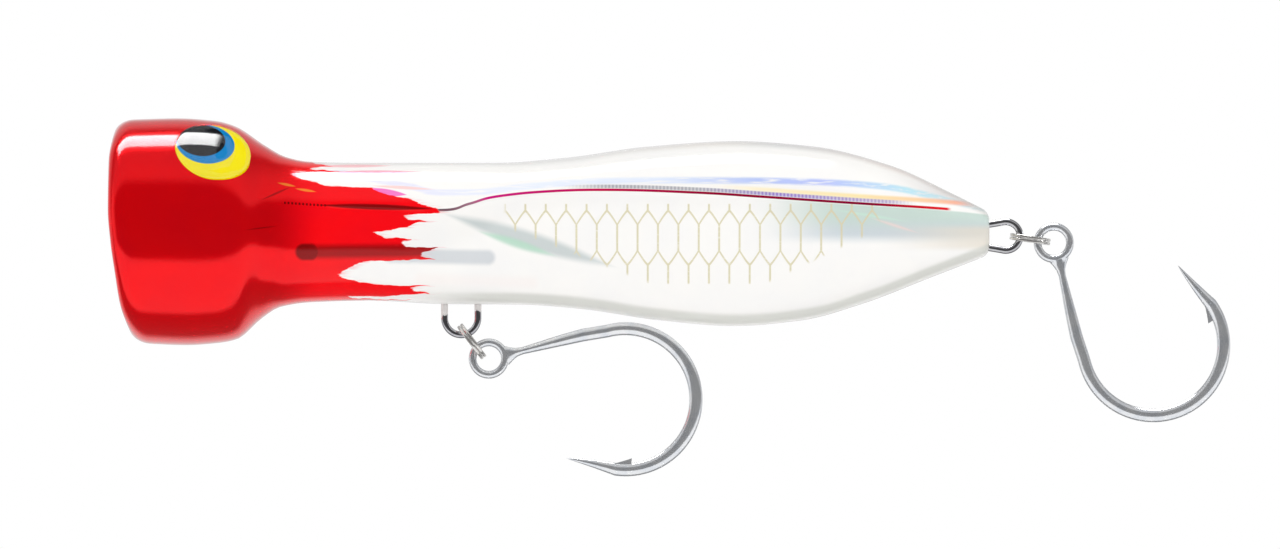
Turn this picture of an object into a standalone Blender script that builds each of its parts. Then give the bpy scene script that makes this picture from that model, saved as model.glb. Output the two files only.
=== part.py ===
"""A topwater popper: a floating fishing lure with a cupped mouth, a through wire and two single hooks.

Sizes in this file are in millimetres until they become mesh points, which are in metres.
The origin is the centre of the line tie, the wire eye inside the mouth.  The nose points along -X,
the tail along +X, the back along +Z, and the lure's left side is the -Y side.
"""
import math

import bpy
from mathutils import Matrix, Vector

MM = 0.001
GAP = 0.3                      # clearance kept between two pieces that touch

# Body outline, seen from the side: (x, z) of the back and of the belly, and (x, half width).
BACK = [(-6.0, 19.2), (1.5, 19.4), (8.0, 18.95), (11.2, 18.1), (16.5, 14.7), (20.0, 12.8), (24.0, 12.0),
        (32.0, 11.8), (56.0, 11.8), (68.0, 12.7), (82.0, 14.6), (97.0, 15.5), (110.0, 14.6),
        (123.0, 11.4), (134.0, 6.4), (140.0, 3.4)]
BELLY = [(-6.0, -18.9), (3.0, -19.3), (8.3, -18.95), (11.6, -18.3), (15.9, -14.7), (19.0, -12.8),
         (24.0, -12.0), (34.0, -11.7), (47.0, -12.3), (60.0, -12.4), (70.0, -13.1), (84.0, -15.1),
         (96.5, -16.05), (108.0, -15.1), (118.0, -12.4), (130.0, -7.8), (140.0, -3.9)]
HALF_WIDTH = [(-6.0, 17.9), (2.0, 18.2), (8.2, 17.7), (11.5, 16.6), (16.5, 13.3), (20.5, 11.7),
              (26.0, 11.1), (34.0, 11.0), (56.0, 11.0), (70.0, 11.9), (88.0, 13.1), (97.0, 13.2),
              (110.0, 12.4), (123.0, 9.8), (134.0, 6.0), (140.0, 3.6)]
ROUNDNESS = 2.1                # exponent of the cross-section: 2 is an ellipse
TAIL_X = 140.0
TAIL_FILLET = 1.2

# Mouth: the rim's x at a height z on the rim, the rim's bead, and the cup behind it.
RIM = [(-17.0, -6.4), (-12.0, -8.1), (-6.8, -8.9), (-1.7, -9.6), (4.0, -10.05), (12.0, -10.0), (17.0, -9.2)]
RIM_SCALE = 0.86               # rim crest as a share of the head's outline
MOUTH_SCALE = 0.80             # cup edge as a share of the head's outline
RIM_OUTER_DEPTH = 3.5
RIM_INNER_DEPTH = 1.2
CUP_BOTTOM_X = 4.6
HEAD_X = 3.0                   # from here back the sections are square to the body

# Inside of the shells: compartments between moulded bulkheads.
CHAMBERS = [(9.8, 42.5), (57.5, 96.0), (98.0, 130.0)]
WALL = [(9.0, 3.8), (16.0, 3.6), (24.0, 1.8), (140.0, 1.8)]

# Wires.
WIRE_RADIUS = 0.6
LINE_TIE_RADIUS = 2.9          # to the wire's centre
LEG_Z = 1.2                    # the two legs of the through wire run above and below the axis
TAIL_LOOP = (142.8, -0.7)
TAIL_LOOP_RADIUS = 2.45
TAIL_NECK = 2.0                # from the loop's axis to each leg where it leaves the tail
HANGER = (49.9, -14.7)
HANGER_RADIUS = 2.85
HANGER_FOOT_Z = -6.0
HANGER_FOOT_LENGTH = 2.6

# Split rings: a flat wire in two coils.
RING_RADIUS = 3.15             # to the wire's centre
RING_WIRE_WIDTH = 0.7          # across the coil
RING_WIRE_HEIGHT = 0.54        # along the ring's axis
RING_COIL_OFFSET = 0.3         # each coil's distance from the ring's middle plane
RING_TURNS = 1.88
BELLY_RING_TOP = (49.8, -16.15)
BELLY_RING_REST = (50.75, -17.42)   # where the belly ring rests on its hanger, a little behind the bottom
BELLY_RING_TILT = 53.0         # degrees below the tail's direction
TAIL_RING_TOP = (143.85, -0.75)
TAIL_RING_TILT = 8.5

# Hooks: a single hook in its own plane, u along the shank and v towards the point.
HOOK_EYE_RADIUS = 2.76         # to the wire's centre
HOOK_EYE_WIRE = 0.68
HOOK_SHANK = [(2.9, -0.55), (10.0, -2.45), (16.0, -4.0)]
HOOK_BEND_CENTRE = (23.3, 6.95)
HOOK_BEND_RADIUS = 12.05
HOOK_BEND_ANGLES = (-105.0, 98.0)
HOOK_TIP = (13.3, 17.0)
HOOK_BARB = (24.4, 17.0)       # the barb's free tip
BELLY_HOOK_EYE = (54.6, -21.6)
BELLY_HOOK_ANGLE = 0.0
TAIL_HOOK_EYE = (151.0, -1.85)
TAIL_HOOK_ANGLE = -62.4

# Eyes: a printed disc under a domed clear lens, in a pocket high on each side of the head.
EYE_CENTRE = (7.85, 14.3)      # x and z on the head's side
EYE_RADIUS = 6.5
EYE_FOLLOW = 0.5               # share of the head's curve that the flat-lying disc follows
EYE_DISC = (-2.0, -1.0)        # the disc's under and upper side, from the head's surface
EYE_LENS = (-0.7, 0.1)
EYE_DOME = 0.35
EYE_POCKET_DEPTH = 2.3

# Rattle: three balls in a plugged tube between two bulkheads, and the tail ballast.
TUBE_Z = -6.2
TUBE_RADIUS = 3.8
TUBE_BORE = 3.3
TUBE_ENDS = (57.8, 95.7)
TUBE_FLOOR = 1.0
PLUG_LENGTH = 1.7
BALL_RADIUS = 3.0
BALL_COUNT = 3
BALLAST = [(102.0, -6.8, 2.6), (103.4, -6.9, 4.2), (112.0, -6.6, 4.3), (121.0, -5.4, 2.5), (122.5, -5.2, 1.4)]

AROUND_BODY = 32
AROUND_WIRE = 8
BODY_STATIONS = (135, 130, 124, 117, 109, 101, 93, 85, 77, 69, 61, 53, 44, 35, 28)
HEAD_STATIONS = (24, 21.5, 19, 17, 15, 13, 11, 9, 6.5, HEAD_X)


def clear_scene():
    for old in list(bpy.data.objects):
        bpy.data.objects.remove(old, do_unlink=True)


# ---------------------------------------------------------------- curves and points

def smooth_curve(points, x):
    """Height at x of a monotone cubic curve through points: no overshoot between them."""
    if x <= points[0][0]:
        return points[0][1]
    if x >= points[-1][0]:
        return points[-1][1]
    slopes = [(b[1] - a[1]) / (b[0] - a[0]) for a, b in zip(points, points[1:])]
    tangents = [slopes[0]]
    for before, after in zip(slopes, slopes[1:]):
        tangents.append(2 * before * after / (before + after) if before * after > 0 else 0.0)
    tangents.append(slopes[-1])
    i = max(k for k in range(len(points) - 1) if points[k][0] <= x)
    width = points[i + 1][0] - points[i][0]
    t = (x - points[i][0]) / width
    return ((2 * t**3 - 3 * t**2 + 1) * points[i][1] + (t**3 - 2 * t**2 + t) * width * tangents[i]
            + (3 * t**2 - 2 * t**3) * points[i + 1][1] + (t**3 - t**2) * width * tangents[i + 1])


def arc(centre, radius, start, end, steps):
    """Points of an arc in the x-z plane, angles in degrees from +X towards +Z."""
    return [(centre[0] + radius * math.cos(math.radians(start + (end - start) * i / steps)),
             centre[1] + radius * math.sin(math.radians(start + (end - start) * i / steps)))
            for i in range(steps + 1)]


def signed_power(value, power):
    return math.copysign(abs(value) ** power, value)


def section_size(x, inset=0.0):
    """Half width, middle height and half height of the body's section at x."""
    top = smooth_curve(BACK, x) - inset
    bottom = smooth_curve(BELLY, x) + inset
    return smooth_curve(HALF_WIDTH, x) - inset, (top + bottom) / 2, (top - bottom) / 2


def section_point(x, angle, scale=1.0, inset=0.0):
    """y and z of the section at x; the angle is 0 at the back and turns towards +Y."""
    half_width, middle, half_height = section_size(x, inset)
    power = 2 / ROUNDNESS
    return (scale * half_width * signed_power(math.sin(angle), power),
            middle + scale * half_height * signed_power(math.cos(angle), power))


def section_ring(x, scale=1.0, inset=0.0):
    turn = [2 * math.pi * k / AROUND_BODY for k in range(AROUND_BODY)]
    return [Vector((x, *section_point(x, angle, scale, inset))) for angle in turn]


# ---------------------------------------------------------------- meshes and objects

def loft(rows, closed=False):
    """Vertices and faces of a skin over rows of points; a row of one point is a pole."""
    vertices = [point for row in rows for point in row]
    starts = [sum(len(row) for row in rows[:i]) for i in range(len(rows))]
    faces = []
    pairs = list(zip(range(len(rows)), range(1, len(rows))))
    if closed:
        pairs.append((len(rows) - 1, 0))
    for a, b in pairs:
        count = max(len(rows[a]), len(rows[b]))
        for k in range(count):
            n = (k + 1) % count
            if len(rows[a]) == 1:
                faces.append((starts[a], starts[b] + n, starts[b] + k))
            elif len(rows[b]) == 1:
                faces.append((starts[a] + k, starts[a] + n, starts[b]))
            else:
                faces.append((starts[a] + k, starts[a] + n, starts[b] + n, starts[b] + k))
    if not closed:
        if len(rows[0]) > 1:
            faces.append(tuple(reversed(range(len(rows[0])))))
        if len(rows[-1]) > 1:
            faces.append(tuple(starts[-1] + k for k in range(len(rows[-1]))))
    return vertices, faces


def join(parts):
    """One vertex and face list from several closed skins that don't touch."""
    vertices, faces = [], []
    for part_vertices, part_faces in parts:
        faces += [tuple(i + len(vertices) for i in face) for face in part_faces]
        vertices += part_vertices
    return vertices, faces


def sweep(path, radii, side_radii=None, closed=False, sides=AROUND_WIRE):
    """A wire along a path in the x-z plane; side_radii is its half thickness along Y."""
    side_radii = side_radii or radii
    rows = []
    last = len(path) - 1
    for i, (x, z) in enumerate(path):
        before = path[i - 1] if closed or i else path[0]
        after = path[(i + 1) % len(path)] if closed or i < last else path[last]
        along = Vector((after[0] - before[0], 0, after[1] - before[1])).normalized()
        across = along.cross(Vector((0, 1, 0)))
        row = []
        for k in range(sides):
            angle = 2 * math.pi * (k + 0.5) / sides
            row.append(Vector((x, 0, z)) + across * radii[i] * math.cos(angle)
                       + Vector((0, 1, 0)) * side_radii[i] * math.sin(angle))
        rows.append(row)
    return loft(rows, closed)


def turned(profile, centre_z, segments=16):
    """A body turned about an axis along X at height centre_z; profile holds (x, radius)."""
    rows = []
    for x, radius in profile:
        if radius == 0:
            rows.append([Vector((x, 0, centre_z))])
            continue
        rows.append([Vector((x, radius * math.sin(2 * math.pi * k / segments),
                             centre_z + radius * math.cos(2 * math.pi * k / segments)))
                     for k in range(segments)])
    return loft(rows)


def signed_volume(vertices, faces):
    total = 0.0
    for face in faces:
        for second, third in zip(face[1:], face[2:]):
            total += vertices[face[0]].dot(vertices[second].cross(vertices[third]))
    return total


def make_object(name, skin, material=None, origin=(0, 0, 0)):
    """A mesh object with its faces pointing out and its own origin, both given in millimetres."""
    vertices, faces = skin
    if signed_volume(vertices, faces) < 0:
        faces = [tuple(reversed(face)) for face in faces]
    origin = Vector(origin)
    mesh = bpy.data.meshes.new(name)
    mesh.from_pydata([tuple((vertex - origin) * MM) for vertex in vertices], [], faces)
    if material:
        mesh.materials.append(material)
    mesh.shade_smooth()
    mesh.set_sharp_from_angle(angle=math.radians(35))
    piece = bpy.data.objects.new(name, mesh)
    piece.location = origin * MM
    bpy.context.scene.collection.objects.link(piece)
    return piece


def make_cutter(name, skin):
    cutter = make_object(name, skin)
    cutter.hide_render = True
    cutter.display_type = 'WIRE'
    return cutter


def combine(piece, cutter, operation):
    step = piece.modifiers.new(operation.lower(), 'BOOLEAN')
    step.operation = operation
    step.solver = 'EXACT'
    step.object = cutter


def material(name, colour, roughness, metallic=0.0):
    new = bpy.data.materials.new(name)
    new.use_nodes = True
    shader = new.node_tree.nodes["Principled BSDF"]
    shader.inputs["Base Color"].default_value = (*colour, 1.0)
    shader.inputs["Roughness"].default_value = roughness
    shader.inputs["Metallic"].default_value = metallic
    new.diffuse_color = (*colour, 1.0)
    return new


# ---------------------------------------------------------------- body shells

def mouth_ring(scale, depth, blend=0.0, target_x=0.0):
    """A ring at a share of the head's outline, a depth behind the rim; blend pulls it to target_x."""
    ring = []
    for k in range(AROUND_BODY):
        angle = 2 * math.pi * k / AROUND_BODY
        rim_z = section_point(BACK[0][0], angle, RIM_SCALE)[1]
        x = smooth_curve(RIM, rim_z) + depth
        x += (target_x - x) * blend
        ring.append(Vector((x, *section_point(x, angle, scale))))
    return ring


def body_skin():
    """The whole lure body as one closed skin: tail, body, head, rim and cup."""
    rows = [section_ring(TAIL_X, 0.66), section_ring(TAIL_X - 0.3 * TAIL_FILLET, 0.86)]
    rows.append(section_ring(TAIL_X - TAIL_FILLET))
    rows += [section_ring(x) for x in BODY_STATIONS + HEAD_STATIONS]
    rows += [mouth_ring(1.0, RIM_OUTER_DEPTH, blend, HEAD_X) for blend in (0.5, 0.0)]
    for degrees in (60, 30, 0):
        tilt = math.radians(degrees)
        rows.append(mouth_ring(RIM_SCALE + (1 - RIM_SCALE) * math.sin(tilt),
                               RIM_OUTER_DEPTH * (1 - math.cos(tilt))))
    for degrees in (45, 90):
        tilt = math.radians(degrees)
        rows.append(mouth_ring(RIM_SCALE - (RIM_SCALE - MOUTH_SCALE) * math.sin(tilt),
                               RIM_INNER_DEPTH * (1 - math.cos(tilt))))
    for degrees in (15, 30, 45, 60, 75):
        tilt = math.radians(degrees)
        rows.append(mouth_ring(MOUTH_SCALE * math.cos(tilt), RIM_INNER_DEPTH, math.sin(tilt), CUP_BOTTOM_X))
    rows.append([Vector((CUP_BOTTOM_X, 0, section_size(CUP_BOTTOM_X)[1]))])
    return loft(rows)


def chamber_skin(front, rear):
    count = max(4, round((rear - front) / 6))
    stations = [front + (rear - front) * i / count for i in range(count + 1)]
    return loft([section_ring(x, inset=smooth_curve(WALL, x)) for x in stations])


def half_space(side):
    """A box over the other half of the body, reaching to half the gap beyond the middle."""
    near = side * GAP / 2
    far = -side * 40.0
    corners = [[Vector((x, y, z)) for y, z in ((near, -40), (near, 40), (far, 40), (far, -40))]
               for x in (-30.0, 160.0)]
    return loft(corners)


# ---------------------------------------------------------------- wires

def through_wire_path():
    """The closed path of the through wire: line tie, upper leg, tail loop, lower leg."""
    nose = arc((0, 0), LINE_TIE_RADIUS, 320, 40, 14)
    upper = [(4.2, 1.3), (7.0, LEG_Z), (30.0, LEG_Z), (60.0, LEG_Z), (95.0, LEG_Z), (122.0, LEG_Z),
             (130.0, LEG_Z), (136.0, 1.2), (140.0, TAIL_LOOP[1] + TAIL_NECK)]
    tail = arc(TAIL_LOOP, TAIL_LOOP_RADIUS, 108, -108, 12)
    lower = [(140.0, TAIL_LOOP[1] - TAIL_NECK), (136.0, -2.2), (130.0, -1.4), (122.0, -LEG_Z),
             (95.0, -LEG_Z), (60.0, -LEG_Z), (30.0, -LEG_Z), (7.0, -LEG_Z), (4.2, -1.3)]
    return nose + upper + tail + lower


def hanger_path():
    """The belly hanger: a U of wire whose ends turn out into two feet inside the body."""
    x, z = HANGER
    corner = 1.0
    left, right = x - HANGER_RADIUS, x + HANGER_RADIUS
    path = [(left - HANGER_FOOT_LENGTH, HANGER_FOOT_Z)]
    path += arc((left - corner, HANGER_FOOT_Z - corner), corner, 90, 0, 3)
    path += arc((x, z), HANGER_RADIUS, 180, 360, 12)
    path += arc((right + corner, HANGER_FOOT_Z - corner), corner, 180, 90, 3)
    path.append((right + HANGER_FOOT_LENGTH, HANGER_FOOT_Z))
    return path


def wire_skin(path, closed, extra=0.0):
    radius = WIRE_RADIUS + extra
    return sweep(path, [radius] * len(path), closed=closed)


def ring_frame(top, tilt):
    """Centre of a split ring and the unit direction from its top to its foot."""
    down = Vector((math.cos(math.radians(tilt)), 0, -math.sin(math.radians(tilt))))
    return Vector((top[0], 0, top[1])) + down * RING_RADIUS, down


def ring_foot(top, tilt):
    """Middle of the ring's wire at its foot, where the hook hangs."""
    centre, down = ring_frame(top, tilt)
    return centre + down * RING_RADIUS


def split_ring_skin(top, tilt, steps_per_turn=24):
    centre, down = ring_frame(top, tilt)
    side = Vector((0, 1, 0))
    axis = down.cross(side)
    steps = round(RING_TURNS * steps_per_turn)
    rows = []
    for i in range(steps + 1):
        turns = i / steps_per_turn
        step_over = min(1.0, max(0.0, (turns - 0.88) / 0.12))
        offset = RING_COIL_OFFSET * (2 * step_over - 1)
        angle = 2 * math.pi * (turns + 0.2)
        outward = down * math.cos(angle) + side * math.sin(angle)
        middle = centre + outward * RING_RADIUS + axis * offset
        across = outward * RING_WIRE_WIDTH / 2
        along = axis * RING_WIRE_HEIGHT / 2
        rows.append([middle + across + along, middle - across + along,
                     middle - across - along, middle + across - along])
    return loft(rows)


# ---------------------------------------------------------------- hooks

def hook_path():
    """Centre line of the hook from its eye to its tip, with the half widths in and across its plane."""
    bend = arc(HOOK_BEND_CENTRE, HOOK_BEND_RADIUS, *HOOK_BEND_ANGLES, 22)
    end = bend[-1]
    point = [(end[0] + (HOOK_TIP[0] - end[0]) * t, end[1] + (HOOK_TIP[1] - end[1]) * t)
             for t in (0.25, 0.5, 0.75, 1.0)]
    widths = [0.64, 0.84, 1.02] + [1.15] * len(bend) + [0.86, 0.64, 0.38, 0.06]
    depths = [0.64, 0.80, 0.92] + [0.88] * len(bend) + [0.78, 0.60, 0.36, 0.06]
    return HOOK_SHANK + bend + point, widths, depths


def hook_place(eye, angle, turn):
    """Matrix from the hook's own plane to the lure; turn is +1 or -1 for the side of the point."""
    along = Vector((math.cos(math.radians(angle)), 0, math.sin(math.radians(angle))))
    towards_point = Vector((-along.z, 0, along.x)) * turn
    across = towards_point.cross(along)
    place = Matrix((along, across, towards_point)).transposed().to_4x4()
    place.translation = Vector((eye[0], 0, eye[1]))
    return place


def placed(skin, place):
    vertices, faces = skin
    return [place @ vertex for vertex in vertices], faces


def barb_skin():
    """A thin wedge that rises from the inside of the bend, its free tip towards the shank."""
    u, v = HOOK_BARB
    foot = [(20.3, 18.2), (23.5, 18.6), (24.2, 18.3)]
    outline = [(u, v), *foot]
    rows = [[Vector((a, y, b)) for a, b in outline] for y in (-0.3, 0.3)]
    return loft(rows)


def build_hook(name, eye, angle, turn, pivot, steel):
    place = hook_place(eye, angle, turn)
    path, widths, depths = hook_path()
    hook = make_object(name, placed(sweep(path, widths, depths), place), steel, pivot)
    circle = arc((0, 0), HOOK_EYE_RADIUS, 0, 345, 23)
    eye_ring = placed(sweep(circle, [HOOK_EYE_WIRE] * len(circle), closed=True), place)
    combine(hook, make_cutter(name + "_eye_shape", eye_ring), 'UNION')
    combine(hook, make_cutter(name + "_barb_shape", placed(barb_skin(), place)), 'UNION')
    return hook


# ---------------------------------------------------------------- eyes

def outside(point):
    """Positive outside the head's surface and negative inside it."""
    half_width, middle, half_height = section_size(point.x)
    return (abs(point.y / half_width) ** ROUNDNESS
            + abs((point.z - middle) / half_height) ** ROUNDNESS - 1)


def eye_frame(side):
    """Centre of an eye on the head's surface, its outward normal and two axes across it."""
    x, z = EYE_CENTRE
    half_width, middle, half_height = section_size(x)
    share = 1 - abs((z - middle) / half_height) ** ROUNDNESS
    centre = Vector((x, side * half_width * share ** (1 / ROUNDNESS), z))
    step = 0.01
    normal = Vector([outside(centre + axis * step) - outside(centre - axis * step)
                     for axis in (Vector((1, 0, 0)), Vector((0, 1, 0)), Vector((0, 0, 1)))]).normalized()
    along = (Vector((1, 0, 0)) - normal * normal.x).normalized()
    return centre, normal, along, normal.cross(along)


def surface_height(start, normal):
    """Distance along the normal from start to the head's surface."""
    low, high = -8.0, 8.0
    for _ in range(40):
        half = (low + high) / 2
        if outside(start + normal * half) < 0:
            low = half
        else:
            high = half
    return low


def eye_skin(side, radius, under, upper, dome=0.0, segments=24):
    """A disc that half follows the head's surface, from a height under it to a height over it."""
    centre, normal, along, across = eye_frame(side)
    shares = (0.4, 0.75, 1.0)

    def ring(share, height):
        points = []
        for k in range(segments):
            angle = 2 * math.pi * k / segments
            flat = centre + (along * math.cos(angle) + across * math.sin(angle)) * radius * share
            points.append(flat + normal * (surface_height(flat, normal) * EYE_FOLLOW + height))
        return points

    rows = [[centre + normal * under]]
    rows += [ring(share, under) for share in shares]
    rows += [ring(share, upper + dome * (1 - share ** 2)) for share in reversed(shares)]
    rows.append([centre + normal * (upper + dome)])
    return loft(rows)


# ---------------------------------------------------------------- rattle and ballast

def ball_skin(x, rings=8, segments=16):
    turn = [math.pi * i / rings for i in range(1, rings)]
    profile = [(x - BALL_RADIUS * math.cos(angle), BALL_RADIUS * math.sin(angle)) for angle in turn]
    return turned([(x - BALL_RADIUS, 0)] + profile + [(x + BALL_RADIUS, 0)], TUBE_Z, segments)


def tube_skin():
    front, rear = TUBE_ENDS
    floor = front + TUBE_FLOOR
    return turned([(front, 0), (front, TUBE_RADIUS), (rear, TUBE_RADIUS), (rear, TUBE_BORE),
                   (floor, TUBE_BORE), (floor, 0)], TUBE_Z, 20)


def plug_skin():
    rear = TUBE_ENDS[1]
    radius = TUBE_BORE - GAP
    front = rear - PLUG_LENGTH
    return turned([(front, 0), (front, radius), (rear, radius), (rear, 0)], TUBE_Z, 20)


def ballast_skin():
    turn = [2 * math.pi * k / 16 for k in range(16)]
    rows = [[Vector((x, radius * math.sin(angle), z + radius * math.cos(angle))) for angle in turn]
            for x, z, radius in BALLAST]
    return loft(rows)


# ---------------------------------------------------------------- the lure

def build_body(pearl):
    skin = body_skin()
    chambers = make_cutter("chamber_shapes", join([chamber_skin(*ends) for ends in CHAMBERS]))
    wire = make_cutter("through_wire_room", wire_skin(through_wire_path(), True, GAP))
    hanger = make_cutter("belly_hanger_room", wire_skin(hanger_path(), False, GAP))
    for name, side in (("left", -1), ("right", 1)):
        shell = make_object("body_shell_" + name, skin, pearl)
        combine(shell, chambers, 'DIFFERENCE')
        combine(shell, make_cutter("half_space_" + name, half_space(side)), 'DIFFERENCE')
        combine(shell, wire, 'DIFFERENCE')
        combine(shell, hanger, 'DIFFERENCE')
        pocket = eye_skin(side, EYE_RADIUS + GAP, -EYE_POCKET_DEPTH, 3.0)
        combine(shell, make_cutter("eye_pocket_" + name, pocket), 'DIFFERENCE')


def build_eyes(print_paint, clear):
    for name, side in (("left", -1), ("right", 1)):
        make_object("eye_disc_" + name, eye_skin(side, EYE_RADIUS, *EYE_DISC), print_paint)
        make_object("eye_lens_" + name, eye_skin(side, EYE_RADIUS, *EYE_LENS, EYE_DOME), clear)


def build_inside(lead, steel, amber):
    make_object("tail_ballast", ballast_skin(), lead)
    make_object("rattle_tube", tube_skin(), amber)
    make_object("rattle_tube_plug", plug_skin(), amber)
    first = TUBE_ENDS[0] + TUBE_FLOOR + GAP + BALL_RADIUS
    for number in range(BALL_COUNT):
        x = first + number * (2 * BALL_RADIUS + GAP)
        make_object(f"rattle_ball_{number + 1}", ball_skin(x), steel, (x, 0, TUBE_Z))


def build_rigging(wire_steel, ring_steel, hook_steel):
    make_object("through_wire", wire_skin(through_wire_path(), True), wire_steel)
    make_object("belly_hanger", wire_skin(hanger_path(), False), wire_steel)
    rigs = (("belly", BELLY_RING_TOP, BELLY_RING_TILT, BELLY_HOOK_EYE, BELLY_HOOK_ANGLE, -1,
             (BELLY_RING_REST[0], 0, BELLY_RING_REST[1])),
            ("tail", TAIL_RING_TOP, TAIL_RING_TILT, TAIL_HOOK_EYE, TAIL_HOOK_ANGLE, 1,
             (TAIL_LOOP[0] + TAIL_LOOP_RADIUS, 0, TAIL_LOOP[1])))
    for name, top, tilt, eye, angle, turn, ring_pivot in rigs:
        make_object(name + "_split_ring", split_ring_skin(top, tilt), ring_steel, ring_pivot)
        build_hook(name + "_hook", eye, angle, turn, ring_foot(top, tilt), hook_steel)


def build():
    clear_scene()
    build_body(material("pearl_plastic", (0.93, 0.92, 0.88), 0.18))
    build_eyes(material("eye_print", (0.98, 0.86, 0.05), 0.3),
               material("clear_lens", (0.95, 0.97, 1.0), 0.05))
    build_inside(material("lead", (0.30, 0.31, 0.33), 0.55, 0.9),
                 material("ball_steel", (0.6, 0.6, 0.62), 0.2, 1.0),
                 material("amber_plastic", (0.85, 0.62, 0.25), 0.3))
    build_rigging(material("wire_steel", (0.55, 0.56, 0.58), 0.28, 1.0),
                  material("ring_steel", (0.62, 0.62, 0.60), 0.25, 1.0),
                  material("hook_steel", (0.50, 0.52, 0.54), 0.22, 1.0))


build()
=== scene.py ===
"""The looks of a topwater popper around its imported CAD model: paint, eyes, wires, rings and hooks.

Shapes are worked out in millimetres in the CAD's own frame, with the nose along -X, the tail along +X
and the back along +Z, and are turned into metres when a mesh is made.
"""
import math

import bmesh
import bpy
from mathutils import Matrix, Vector


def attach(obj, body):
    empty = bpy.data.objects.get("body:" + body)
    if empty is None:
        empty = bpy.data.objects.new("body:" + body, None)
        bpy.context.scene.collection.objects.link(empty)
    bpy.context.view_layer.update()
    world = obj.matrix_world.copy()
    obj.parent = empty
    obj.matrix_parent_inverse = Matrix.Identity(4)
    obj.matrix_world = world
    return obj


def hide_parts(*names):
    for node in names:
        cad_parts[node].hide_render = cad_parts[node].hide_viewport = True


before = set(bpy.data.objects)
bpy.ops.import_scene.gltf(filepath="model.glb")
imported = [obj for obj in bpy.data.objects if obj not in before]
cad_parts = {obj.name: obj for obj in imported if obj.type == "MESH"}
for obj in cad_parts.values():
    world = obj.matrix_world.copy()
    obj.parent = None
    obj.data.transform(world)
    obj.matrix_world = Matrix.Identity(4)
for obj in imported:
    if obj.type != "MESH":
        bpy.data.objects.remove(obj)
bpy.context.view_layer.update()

MM = 0.001

# Body outline, as in the CAD: (x, z) of the back and of the belly, and (x, half width).
BACK = [(-6.0, 19.2), (1.5, 19.4), (8.0, 18.95), (11.2, 18.1), (16.5, 14.7), (20.0, 12.8), (24.0, 12.0),
        (32.0, 11.8), (56.0, 11.8), (68.0, 12.7), (82.0, 14.6), (97.0, 15.5), (110.0, 14.6),
        (123.0, 11.4), (134.0, 6.4), (140.0, 3.4)]
BELLY = [(-6.0, -18.9), (3.0, -19.3), (8.3, -18.95), (11.6, -18.3), (15.9, -14.7), (19.0, -12.8),
         (24.0, -12.0), (34.0, -11.7), (47.0, -12.3), (60.0, -12.4), (70.0, -13.1), (84.0, -15.1),
         (96.5, -16.05), (108.0, -15.1), (118.0, -12.4), (130.0, -7.8), (140.0, -3.9)]
HALF_WIDTH = [(-6.0, 17.9), (2.0, 18.2), (8.2, 17.7), (11.5, 16.6), (16.5, 13.3), (20.5, 11.7),
              (26.0, 11.1), (34.0, 11.0), (56.0, 11.0), (70.0, 11.9), (88.0, 13.1), (97.0, 13.2),
              (110.0, 12.4), (123.0, 9.8), (134.0, 6.0), (140.0, 3.6)]
ROUNDNESS = 2.1
TAIL_X = 140.0
TAIL_FILLET = 1.2

# The shoulder, which the CAD's plain oval sections don't have: the height of the widest point, and how much
# the flank under it leans in.
WIDEST = [(40.0, 0.0), (52.0, 1.5), (62.0, 5.4), (73.5, 6.9), (90.6, 6.4), (101.0, 5.7), (116.2, 3.6),
          (133.0, 0.6)]
LEAN = [(46.0, 0.0), (60.0, 0.26), (96.0, 0.30), (112.0, 0.12), (130.0, 0.0)]

# The lateral line along the flank, from its pores behind the head to its end at the tail.
LINE = [(10.0, 5.4), (19.8, 4.95), (27.0, 4.5), (38.0, 4.15), (46.2, 3.7), (51.0, 4.7), (56.5, 6.1),
        (66.7, 7.0), (73.5, 7.15), (90.6, 6.65), (100.8, 6.0), (116.2, 4.95), (133.0, 3.9), (142.0, 3.0)]
RIDGE = [(43.0, 0.0), (50.0, 0.14), (128.0, 0.14), (134.0, 0.0)]
GROOVE = [(26.0, 0.0), (31.0, 0.16), (42.0, 0.16), (46.0, 0.0)]
LINE_HALF_WIDTH = 0.3

# Mouth: the rim's x at a height on the rim, the rim's bead, and the cup behind it.
RIM = [(-17.0, -6.4), (-12.0, -8.1), (-6.8, -8.9), (-1.7, -9.6), (4.0, -10.05), (12.0, -10.0), (17.0, -9.2)]
RIM_SCALE = 0.86
MOUTH_SCALE = 0.80
RIM_OUTER_DEPTH = 3.5
RIM_INNER_DEPTH = 1.2
CUP_BOTTOM_X = 4.6
HEAD_X = 3.0

# Inside of the shells.
CHAMBERS = [(9.8, 42.5), (57.5, 96.0), (98.0, 130.0)]
WALL = [(9.0, 3.8), (16.0, 3.6), (24.0, 1.8), (140.0, 1.8)]
SEAM = 0.015                   # each half stops this far from the middle plane

# Wires, rings and hooks: the CAD's sizes, with more points along the hook's shank.
WIRE_RADIUS = 0.6
WIRE_FIT = 0.06                # gap around a wire in the body
LINE_TIE_RADIUS = 2.9
LEG_Z = 1.2
TAIL_LOOP = (142.8, -0.7)
TAIL_LOOP_RADIUS = 2.45
TAIL_NECK = 2.0
HANGER = (49.9, -14.7)
HANGER_RADIUS = 2.85
HANGER_FOOT_Z = -6.0
HANGER_FOOT_LENGTH = 2.6
RING_RADIUS = 3.15
RING_WIRE_WIDTH = 0.7
RING_WIRE_HEIGHT = 0.54
RING_COIL_OFFSET = 0.3
RING_TURNS = 1.88
RINGS = {"belly": ((49.8, -16.15), 53.0), "tail": ((143.85, -0.75), 8.5)}
HOOK_EYE_RADIUS = 2.76
HOOK_EYE_WIRE = 0.68
HOOK_SHANK = [(2.9, -0.55), (3.9, -0.85), (4.7, -1.08), (5.7, -1.33), (8.0, -1.93), (10.5, -2.6),
              (13.0, -3.25), (16.0, -4.0)]
SHANK_HALF_WIDTHS = [1.75, 1.12, 0.76, 0.62, 0.74, 0.88, 1.0, 1.1]
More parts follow.
